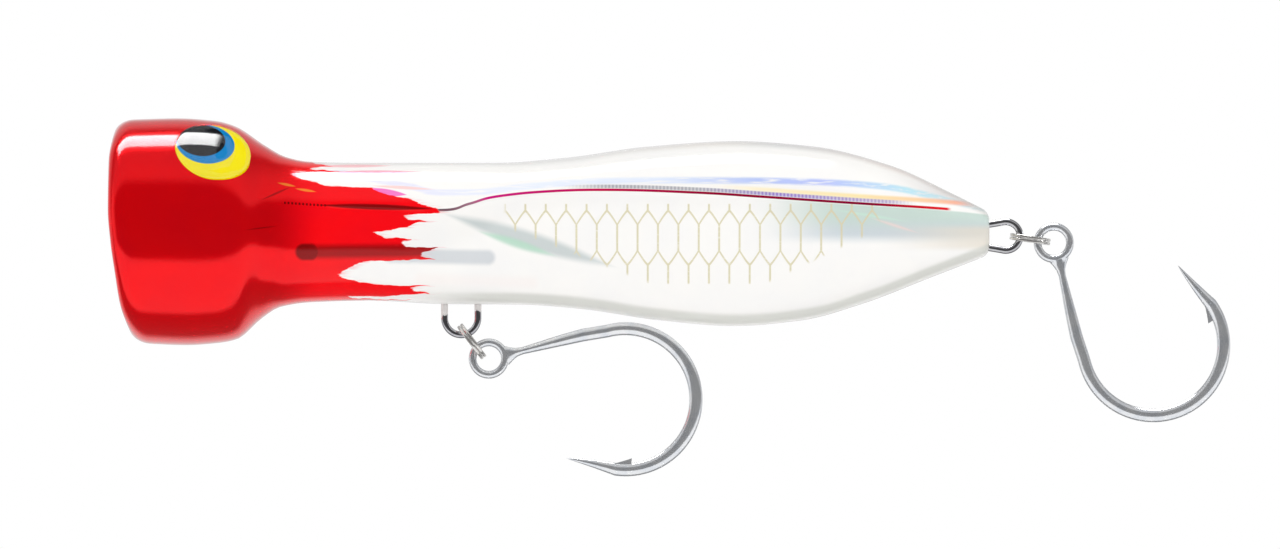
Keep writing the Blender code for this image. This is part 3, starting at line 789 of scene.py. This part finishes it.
# Colours along the lure, as (x, colour).
BLUE_ALONG = [(40.0, (0.80, 0.80, 0.97)), (60.0, (0.80, 0.86, 0.99)), (84.0, (0.74, 0.82, 0.98)),
              (101.0, (0.40, 0.52, 0.94)), (112.0, (0.42, 0.50, 0.95)), (126.0, (0.45, 0.78, 0.90)),
              (138.0, (0.60, 0.72, 0.75))]
YELLOW_ALONG = [(92.0, (1.0, 0.92, 0.66)), (118.0, (1.0, 0.80, 0.38)), (128.0, (1.0, 0.62, 0.34)),
                (136.0, (1.0, 0.40, 0.28))]
VIOLET_ALONG = [(66.0, (0.36, 0.36, 0.40)), (90.0, (0.42, 0.42, 0.46)), (104.0, (0.30, 0.20, 0.62)),
                (126.0, (0.50, 0.42, 0.62))]
BACK_ALONG = [(66.0, (0.98, 0.80, 0.68)), (92.0, (0.90, 0.78, 0.68)), (104.0, (0.52, 0.54, 0.56)),
              (124.0, (0.66, 0.50, 0.44)), (136.0, (0.50, 0.50, 0.46))]
LINE_ALONG = [(46.0, (0.10, 0.07, 0.08)), (51.5, (0.35, 0.15, 0.22)), (54.5, (0.60, 0.0, 0.20)),
              (74.0, (0.55, 0.0, 0.07)), (92.0, (0.30, 0.0, 0.03)), (120.0, (0.24, 0.0, 0.03)),
              (131.0, (0.75, 0.0, 0.01))]
DOT_PITCH = 0.62


class BodyPaint(MaterialGraph):
    """Paint laid on one colour at a time; every layer reads the same place, line, streaks and clouds."""

    def __init__(self):
        super().__init__("popper_paint", Coat_Weight=1.0, Coat_Roughness=0.03, Coat_IOR=1.25, IOR=1.25)
        self.over = self.less(self.z, self.curve(self.x, LINE, 0.0, 145.0, 0.0, 10.0))
        self.streaks = self.noise(self.stretched(self.point, 0.25, 1.0, 3.0), 1.0, 4.0)
        self.cloud = self.noise(self.point, 0.12, 2.0)
        self.colour = self.mix(self.step(self.cloud, 0.35, 0.7), PEARL, (0.95, 0.94, 0.925))

    def lay(self, mask, strength, colour):
        """Colour over what is there, as strong as the mask times strength."""
        self.colour = self.mix(self.times(mask, strength), self.colour, colour)

    def between(self, start, full, full_end, end):
        """A mask along x: 0 before start, 1 from full to full_end, and 0 after end."""
        return self.times(self.step(self.x, start, full), self.step(self.x, end, full_end))

    def dots(self, low, high):
        """Dots in a row along x."""
        return self.step(self.math('SINE', self.times(self.x, 2 * math.pi / DOT_PITCH)), low, high)


def lay_painted_reflections(g):
    """Painted reflections: grey green towards the tail and along the front of the flank, and the listed
    bands, highlight and glints; the tail's tip also turns grey and beige.
    """
    # painted reflection: grey green under the lateral line towards the tail
    under_line = g.times(g.step(g.over, -0.1, -0.5), g.step(g.z, -2.4, -0.2))
    grey_green = g.mix(g.step(g.z, -0.5, 3.0), (0.60, 0.67, 0.71), (0.56, 0.70, 0.64))
    g.lay(g.times(g.step(g.x, 98.0, 116.0), under_line), 0.9, grey_green)
    # greyer above the line and beige around the middle over the tail's tip
    tip = g.times(g.step(g.x, 120.0, 139.0), 0.75)
    g.lay(tip, g.step(g.over, 1.0, 2.6), (0.66, 0.64, 0.65))
    g.lay(tip, g.band(g.z, -1.0, 1.2, 1.4), (0.80, 0.74, 0.64))
    # painted reflections, highlight and glints from the table
    for mask, start, end, half_width, soft, strength, tint in PAINTED_REFLECTIONS:
        g.lay(mask(g, start, end, half_width, soft), strength, tint)


def lay_rainbow(g):
    """Blue, yellow and dotted violet bands above the lateral line."""
    blue = g.band(g.z, g.curve(g.x, BLUE_BAND, 30.0, 145.0, 0.0, 10.0), 0.25, 0.55)
    g.lay(blue, g.times(g.step(g.streaks, 0.2, 0.55), 0.85), g.ramp(g.x, 38.0, 140.0, BLUE_ALONG))
    yellow = g.times(g.band(g.over, 1.2, 0.1, 0.55), g.between(90.0, 104.0, 134.0, 139.0))
    g.lay(yellow, 0.9, g.ramp(g.x, 90.0, 140.0, YELLOW_ALONG))
    violet = g.times(g.band(g.over, 0.58, 0.2, 0.2), g.between(66.0, 76.0, 122.0, 128.0))
    g.lay(violet, g.add(g.times(g.dots(-0.6, 0.4), 0.35), 0.6), g.ramp(g.x, 60.0, 130.0, VIOLET_ALONG))


def lay_edges_and_scales(g):
    """A painted reflection along the top edge of the back, painted shade along the belly, and the printed
    scales.
    """
    # painted reflection: a tinted band along the top edge of the back
    under_back = g.less(g.curve(g.x, BACK, 0.0, 140.0, 0.0, 20.0), g.z)
    back = g.times(g.step(under_back, 1.4, 0.2), g.step(g.x, 68.0, 104.0))
    g.lay(back, 0.45, g.ramp(g.x, 60.0, 140.0, BACK_ALONG))
    # painted shade: grey just above the belly's edge, from the neck back
    over_belly = g.less(g.z, g.curve(g.x, BELLY, 0.0, 140.0, -20.0, 0.0))
    g.lay(g.times(g.band(over_belly, 1.15, 0.35, 0.9), g.step(g.x, 40.0, 56.0)), 0.75, (0.66, 0.67, 0.62))
    g.lay(scale_net(g), g.step(g.streaks, 0.0, 0.5), (0.72, 0.67, 0.47))


def lay_lateral_line(g):
    along = g.between(44.5, 46.5, 132.6, 133.6)
    g.lay(g.band(g.over, 0.0, 0.17, 0.1), along, g.ramp(g.x, 44.0, 134.0, LINE_ALONG))


def lay_red_head(g):
    """The red head's ragged fingers, with pink streaks ahead of them; returns the mask of the red."""
    wave = g.times(g.less(g.noise(g.stretched(g.point, 0.3, 0.05, 0.5), 1.0, 2.0), 0.5), 0.9)
    ends = g.curve(g.add(g.z, wave), FINGERS, -12.5, 12.5, 15.0, 50.0, smooth=False)
    ragged = g.times(g.less(g.noise(g.stretched(g.point, 0.5, 2.0, 4.0), 1.0, 3.0), 0.5), 1.4)
    ahead = g.less(g.add(ends, ragged), g.x)
    g.lay(g.times(g.step(ahead, -2.2, 0.2), g.step(g.streaks, 0.42, 0.6)), 0.5, (0.95, 0.30, 0.36))
    for start, end, half_width, tint in PINK_STREAKS:
        g.lay(lens_mask(g, start, end, half_width, 0.2), 0.8, tint)
    red = g.step(ahead, -0.15, 0.25)
    g.lay(red, 1.0, g.mix(g.step(g.cloud, 0.3, 0.75), RED, (0.92, 0.0, 0.006)))
    return red


def lay_head_marks(g, red):
    """Pores and groove of the lateral line behind the head, a painted dark reflection along the neck, dark
    lines of painted shade for the gill creases, and painted orange glints.
    """
    pores = g.times(g.band(g.over, 0.0, 0.14, 0.1), g.between(19.4, 19.6, 27.0, 27.4))
    pores = g.times(pores, g.dots(-0.2, 0.5))
    groove = lens_mask(g, (24.5, 4.6), (46.5, 3.9), 0.62, 0.3)
    # painted reflection: a dark band along the neck, on the red only
    neck_dark_reflection = g.most(g.times(capsule_mask(g, (24.0, -3.4), (48.0, -3.1), 0.5, 1.2), 0.7),
                    g.times(capsule_mask(g, (23.2, -3.4), (24.4, -3.4), 1.1, 0.6), 0.85))
    # painted shade: dark lines standing in for the gill creases
    gill = g.most(lens_mask(g, (15.5, 5.2), (21.5, 7.9), 0.28, 0.2),
                  lens_mask(g, (12.5, 0.2), (19.5, 1.1), 0.2, 0.2))
    dark = g.most(pores, g.times(groove, 0.85), g.times(gill, 0.6), g.times(neck_dark_reflection, red))
    g.lay(dark, 1.0, (0.13, 0.0, 0.0))
    # painted highlights: orange glints on the head behind the eye
    glint = g.most(lens_mask(g, (18.5, 8.4), (22.0, 7.7), 0.28, 0.15),
                   lens_mask(g, (21.5, 7.4), (25.5, 6.8), 0.28, 0.15))
    g.lay(glint, 0.8, (1.0, 0.30, 0.03))


def body_paint():
    """Pearl over foil with a holographic flank, printed scales, a lateral line, a red head, and painted
    reflections and shade.
    """
    g = BodyPaint()
    lay_painted_reflections(g)
    lay_rainbow(g)
    lay_edges_and_scales(g)
    lay_lateral_line(g)
    red = lay_red_head(g)
    lay_head_marks(g, red)
    g.paint("Base Color", g.colour)
    # The red is metallic on the head and plain on the neck.
    g.paint("Metallic", g.add(g.times(g.times(red, g.step(g.x, 27.0, 17.0)), 0.5), 0.03))
    g.paint("Roughness", g.add(g.times(g.streaks, 0.10), 0.10))
    g.bump(g.noise(g.point, 1.6, 2.0), 0.05, 0.0002)
    return g.material


def eye_print(side):
    """Yellow disc with a blue disc and a black pupil off its centre."""
    g = MaterialGraph("eye_print_left" if side < 0 else "eye_print_right", Specular_IOR_Level=0.0)
    y = g.times(g.y, 1.0 if side < 0 else -1.0)

    def disc(along, up, radius):
        off_x = g.math('POWER', g.less(g.x, along), 2.0)
        off_y = g.math('POWER', g.less(y, up), 2.0)
        off = g.math('SQRT', g.add(off_x, off_y))
        return g.step(off, radius + 0.05, radius - 0.05)

    fleck = g.noise(g.point, 2.5, 3.0)
    colour = g.mix(g.step(fleck, 0.3, 0.7), (1.0, 0.87, 0.0), (1.0, 0.82, 0.0))
    blue = g.mix(g.step(fleck, 0.3, 0.7), (0.0, 0.25, 0.62), (0.0, 0.22, 0.56))
    colour = g.mix(disc(*EYE_BLUE), colour, blue)
    colour = g.mix(disc(*EYE_PUPIL), colour, (0.004, 0.005, 0.008))
    g.paint("Base Color", colour)
    g.paint("Roughness", g.add(g.times(fleck, 0.1), 0.2))
    return g.material


def clear_resin():
    """Clear enough to leave the print its colours, under a coat that carries the highlight."""
    g = MaterialGraph("clear_resin", Transmission_Weight=1.0, IOR=1.1, Roughness=0.0, Coat_Weight=0.5,
                      Coat_IOR=1.6, Coat_Roughness=0.03)
    g.paint("Base Color", g.mix(g.step(g.noise(g.point, 0.6), 0.3, 0.7), (1.0, 1.0, 1.0), (0.98, 0.99, 1.0)))
    return g.material


def metal(name, light, dark, roughness, scratches=0.05, metallic=1.0):
    """Bare metal with soft clouding and fine scratches; less than metallic for a satin coating."""
    g = MaterialGraph(name, Metallic=metallic)
    cloud = g.noise(g.point, 0.5, 3.0)
    fine = g.noise(g.point, 3.6, 4.0, 0.7)
    g.paint("Base Color", g.mix(g.step(cloud, 0.3, 0.75), light, dark))
    g.paint("Roughness", g.add(g.times(fine, 0.16), roughness - 0.08))
    g.bump(fine, scratches, 0.00005)
    return g.material


def painted_wire():
    """The hanger's wire: paint runs down it from the belly and stops in a ragged edge."""
    g = MaterialGraph("hanger_wire")
    wave = g.noise(g.point, 0.9, 2.0)
    edge = g.add(g.times(wave, 1.6), g.times(g.x, 0.14))
    paint = g.step(g.less(g.z, edge), PAINT_END - 0.12, PAINT_END + 0.12)
    steel = g.mix(g.step(wave, 0.3, 0.7), (0.60, 0.60, 0.62), (0.46, 0.46, 0.50))
    g.paint("Base Color", g.mix(paint, steel, (0.74, 0.71, 0.70)))
    g.paint("Metallic", g.less(1.0, paint))
    g.paint("Roughness", g.add(g.times(paint, 0.1), 0.08))
    g.bump(wave, 0.05, 0.00005)
    return g.material


def moulded(name, light, dark, roughness):
    """Plain moulded plastic with a fine grain."""
    g = MaterialGraph(name)
    fine = g.noise(g.point, 3.0, 4.0)
    g.paint("Base Color", g.mix(g.step(fine, 0.3, 0.7), light, dark))
    g.paint("Roughness", g.add(g.times(fine, 0.2), roughness - 0.1))
    g.bump(fine, 0.15, 0.0001)
    return g.material


# ---------------- pieces

def build_body():
    paint = body_paint()
    lens = clear_resin()
    for name, side in (("left", -1), ("right", 1)):
        half = half_body("painted_half_" + name, side, paint)
        pocket = eye_skin(side, EYE_RADIUS + EYE_FIT, EYE_DISC[0] - 0.1, 2.0)
        wire_room = wire_skin(through_wire_path(), True, WIRE_FIT, CUTTER_SIDES)
        hanger_room = wire_skin(hanger_path(), False, WIRE_FIT, CUTTER_SIDES)
        cut(half, ('DIFFERENCE', pocket), ('DIFFERENCE', wire_room), ('DIFFERENCE', hanger_room))
        shade(half, 40)
        stand_for(half, "body_shell_" + name, "root")
        disc_skin = eye_skin(side, EYE_RADIUS, *EYE_DISC)
        disc = make_piece("printed_eye_" + name, disc_skin, eye_print(side), 50, eye_place(side))
        stand_for(disc, "eye_disc_" + name, "root")
        dome_skin = eye_skin(side, EYE_RADIUS, *EYE_LENS, EYE_DOME, EYE_LENS_EDGE)
        dome = make_piece("domed_lens_" + name, dome_skin, lens, 50)
        stand_for(dome, "eye_lens_" + name, "root")


def build_wires():
    steel = metal("drawn_wire", (0.60, 0.60, 0.62), (0.48, 0.48, 0.51), 0.12)
    wire = make_piece("bent_through_wire", wire_skin(through_wire_path(), True), steel)
    stand_for(wire, "through_wire", "root")
    hanger = make_piece("bent_belly_hanger", wire_skin(hanger_path(), False), painted_wire())
    stand_for(hanger, "belly_hanger", "root")


def build_rigging():
    ring_steel = metal("ring_spring_steel", (0.80, 0.79, 0.77), (0.62, 0.60, 0.58), 0.16, metallic=0.8)
    hook_steel = metal("bright_tinned_hook", (0.86, 0.87, 0.89), (0.74, 0.77, 0.82), 0.18,
                       metallic=0.78)
    for name, (top, tilt) in RINGS.items():
        ring = make_piece(name + "_coiled_ring", split_ring_skin(top, tilt), ring_steel, 50)
        stand_for(ring, name + "_split_ring", name + "_ring")
    circle = arc((0, 0), HOOK_EYE_RADIUS, 0, 355, 71)
    for name, (eye, angle, turn) in HOOKS.items():
        place = hook_place(eye, angle, turn)
        hook = make_piece(name + "_forged_hook", placed(hook_skin(), place), hook_steel, 35)
        cut(hook, ('UNION', placed(sweep(circle, [HOOK_EYE_WIRE] * len(circle), closed=True), place)),
            ('UNION', placed(barb_skin(), place)))
        shade(hook, 35)
        stand_for(hook, name + "_hook", name + "_hook")


def finish_inner_parts():
    """Materials for the CAD's own pieces inside the body."""
    lead = metal("cast_lead", (0.30, 0.31, 0.33), (0.20, 0.21, 0.22), 0.55, scratches=0.3)
    amber = moulded("amber_tube", (0.85, 0.58, 0.20), (0.74, 0.48, 0.15), 0.3)
    finishes = {"tail_ballast": lead, "rattle_tube": amber, "rattle_tube_plug": amber}
    ball = metal("polished_ball", (0.70, 0.70, 0.71), (0.58, 0.58, 0.60), 0.14)
    for number in (1, 2, 3):
        finishes[f"rattle_ball_{number}"] = ball
    for node, material in finishes.items():
        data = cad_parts[node].data
        data.materials.clear()
        data.materials.append(material)


# ---------------- stage

CAMERA_LENS = 600.0
SENSOR = 36.0
VIEW_WIDTH = 0.2184            # width of the view at the middle plane, in metres
VIEW_CENTRE = (0.0804, -0.00725)
FLOOR_Z = -0.30
FLOOR_RADIUS = 3.0
FLOOR_SIDES = 96


def build_camera():
    data = bpy.data.cameras.new("camera")
    data.lens = CAMERA_LENS
    data.sensor_width = SENSOR
    camera = bpy.data.objects.new("camera", data)
    camera.location = (VIEW_CENTRE[0], -VIEW_WIDTH * CAMERA_LENS / SENSOR, VIEW_CENTRE[1])
    camera.rotation_euler = (math.radians(90), 0, 0)
    bpy.context.scene.collection.objects.link(camera)
    bpy.context.scene.camera = camera


# Light around the lure: degrees from the backdrop over the ceiling (+) or the floor (-), and how bright.
REFLECTED = [(-180, 0.10), (-158, 0.10), (-154, 1.0), (-96, 1.0), (-90, 0.14), (-50, 0.14), (-38, 0.7),
             (14, 0.7), (24, 0.45), (46, 0.45), (56, 0.12), (64, 0.12), (92, 0.42), (128, 0.56),
             (138, 0.08), (180, 0.08)]
SOFT = [(-180, 1.0), (-90, 0.92), (0, 1.0), (90, 1.2), (180, 1.0)]
STRIP = (77.0, 9.0, 2.0)       # an overhead strip light: its middle, half width and soft edge in degrees
STRIP_POWER = 20.0
SIDE = (0.86, 0.99, 0.8)       # how far to the left the softbox there starts and is full, and its light


def sky_ramp(g, degrees, bands, strongest):
    """Light by angle, from bands of (degrees, light) with none over strongest."""
    stops = [(angle, (light / strongest,) * 3) for angle, light in bands]
    node = g.node("ShaderNodeVectorMath", operation='SCALE')
    g.put(node.inputs[0], g.ramp(degrees, -180, 180, stops))
    node.inputs["Scale"].default_value = strongest
    return node.outputs[0]


def build_world():
    """White to the camera, soft light on matt surfaces, and a banded studio in reflections."""
    world = bpy.data.worlds.new("studio")
    bpy.context.scene.world = world
    world.use_nodes = True
    g = Graph(world.node_tree)
    split = g.node("ShaderNodeSeparateXYZ", g.node("ShaderNodeTexCoord").outputs["Generated"])
    degrees = g.times(g.math('ARCTAN2', split.outputs["Z"], split.outputs["Y"]), 180 / math.pi)
    ray = g.node("ShaderNodeLightPath").outputs
    mirrored = g.times(ray["Is Glossy Ray"], g.less(1.0, ray["Is Transmission Ray"]))
    across = split.outputs["X"]
    strip = g.times(g.band(degrees, *STRIP), g.times(g.step(across, 0.26, 0.12), g.step(across, -0.62, -0.5)))
    beside = g.times(g.step(g.less(0.0, across), *SIDE[:2]), g.step(g.size(degrees), 60.0, 100.0))
    studio = g.mix(beside, sky_ramp(g, degrees, REFLECTED, 1.0), (SIDE[2],) * 3)
    studio = g.mix(strip, studio, (STRIP_POWER,) * 3)
    light = g.mix(mirrored, sky_ramp(g, degrees, SOFT, 1.5), studio)
    g.put(g.tree.nodes["Background"].inputs["Color"], g.mix(ray["Is Camera Ray"], light, (1.0, 1.0, 1.0)))


def build_floor():
    """A plain pale disc, which the gloss of the lure doesn't mirror."""
    g = MaterialGraph("pale_floor")
    g.paint("Base Color", g.mix(g.noise(g.point, 0.01), (0.90, 0.90, 0.90), (0.87, 0.87, 0.87)))
    g.paint("Roughness", g.add(g.times(g.noise(g.point, 0.05), 0.2), 0.6))
    turn = [2 * math.pi * k / FLOOR_SIDES for k in range(FLOOR_SIDES)]
    rim = [Vector((FLOOR_RADIUS * math.cos(angle), FLOOR_RADIUS * math.sin(angle), FLOOR_Z)) / MM
           for angle in turn]
    floor = make_piece("floor", (rim, [tuple(range(FLOOR_SIDES))]), g.material)
    floor.visible_glossy = False


build_body()
build_wires()
build_rigging()
finish_inner_parts()
build_camera()
build_world()
build_floor()
bpy.context.scene.view_settings.view_transform = 'Standard'
